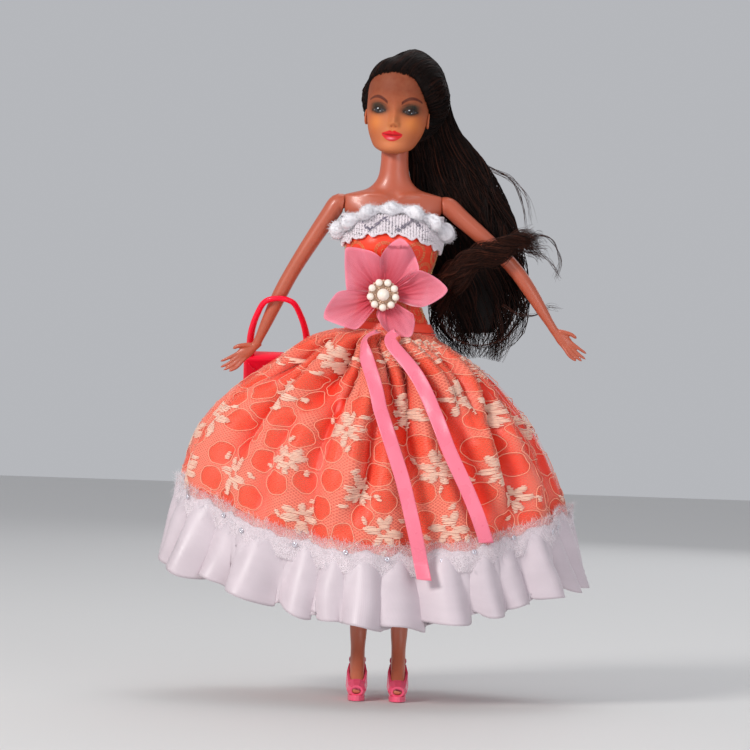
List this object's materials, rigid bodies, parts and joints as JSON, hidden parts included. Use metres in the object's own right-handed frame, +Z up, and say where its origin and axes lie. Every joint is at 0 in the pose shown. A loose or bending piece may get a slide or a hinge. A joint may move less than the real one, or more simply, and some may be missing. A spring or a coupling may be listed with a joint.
{
  "type": "fashion doll",
  "caption": "Fashion doll in a strapless ball gown with lace skirt, ruffled hem, flower and pearl brooch, long hair, turning head, arms and legs, and a handbag.",
  "frame": {"origin": "middle of the waist, where a doll stand or a hand holds her", "axes": "+Z up, -Y the way she faces, +X to her left"},
  "size_m": [0.1877, 0.1137, 0.2892],
  "materials": {
    "hard_skin": "glossy moulded skin tone",
    "vinyl_skin": "soft vinyl skin tone",
    "hair": "dark brown fibre",
    "coral_satin": "satin",
    "coral_lace": "pale floral lace",
    "white_satin": "satin",
    "white_knit": "knitted lace with silver thread",
    "white_fluff": "fluffy trim",
    "organza": "sheer organza",
    "pink_satin": "satin ribbon",
    "shoe_plastic": "glossy",
    "pearl": "pearl coating",
    "gold": "bright",
    "bag_plastic": "glossy",
    "hook_tape": "hook and loop",
    "nylon": "plain"
  },
  "bodies": {
    "body_and_gown": {"torso_front": "hard_skin", "torso_back": "hard_skin", "hip_axle": "nylon", "bodice": "coral_satin", "back_fastener": "hook_tape", "lace_band": "white_knit", "fur_trim": "white_fluff", "waistband": "coral_satin", "underskirt": "coral_satin", "lace_overskirt": "coral_lace", "hem_ruffle": "white_satin", "brooch_setting": "gold", "centre_pearl": "pearl", "ribbon_right": "pink_satin", "ribbon_left": "pink_satin", "petal_1": "organza", "petal_2": "organza", "petal_3": "organza", "petal_4": "organza", "petal_5": "organza", "ring_pearl_1": "pearl", "ring_pearl_2": "pearl", "ring_pearl_3": "pearl", "ring_pearl_4": "pearl", "ring_pearl_5": "pearl", "ring_pearl_6": "pearl", "ring_pearl_7": "pearl", "ring_pearl_8": "pearl", "ring_pearl_9": "pearl"},
    "head": {"head": "vinyl_skin", "hair_cap": "hair", "hair_fall": "hair", "hair_tress": "hair"},
    "arm_right": {"arm_right": "hard_skin"},
    "arm_left": {"arm_left": "hard_skin"},
    "leg_right": {"leg_right": "vinyl_skin", "shoe_right": "shoe_plastic"},
    "leg_left": {"leg_left": "vinyl_skin", "shoe_left": "shoe_plastic"},
    "handbag": {"handbag": "bag_plastic"}
  },
  "joints": [
    {"name": "head_turn", "type": "hinge", "parent": "body_and_gown", "child": "head", "pos_m": [0, 0, 0.074], "axis": [0, 0, 1], "range_deg": [-90, 90], "deforming": ["hair_fall", "hair_tress"]},
    {"name": "shoulder_right", "type": "hinge", "parent": "body_and_gown", "child": "arm_right", "pos_m": [0, 0, 0.0448], "axis": [1, 0, 0], "range_deg": [0, 280]},
    {"name": "shoulder_left", "type": "hinge", "parent": "body_and_gown", "child": "arm_left", "pos_m": [0, 0, 0.0448], "axis": [1, 0, 0], "continuous": true, "deforming": ["hair_fall", "hair_tress"]},
    {"name": "hip_right", "type": "hinge", "parent": "body_and_gown", "child": "leg_right", "pos_m": [0, 0, -0.026], "axis": [1, 0, 0], "range_deg": [-20, 20]},
    {"name": "hip_left", "type": "hinge", "parent": "body_and_gown", "child": "leg_left", "pos_m": [0, 0, -0.026], "axis": [1, 0, 0], "range_deg": [-20, 20]},
    {"name": "bag_swing", "type": "hinge", "parent": "arm_right", "child": "handbag", "pos_m": [-0.0492, 0.00003, 0.00246], "axis": [1, 0, 0], "range_deg": [0, 45]}
  ]
}
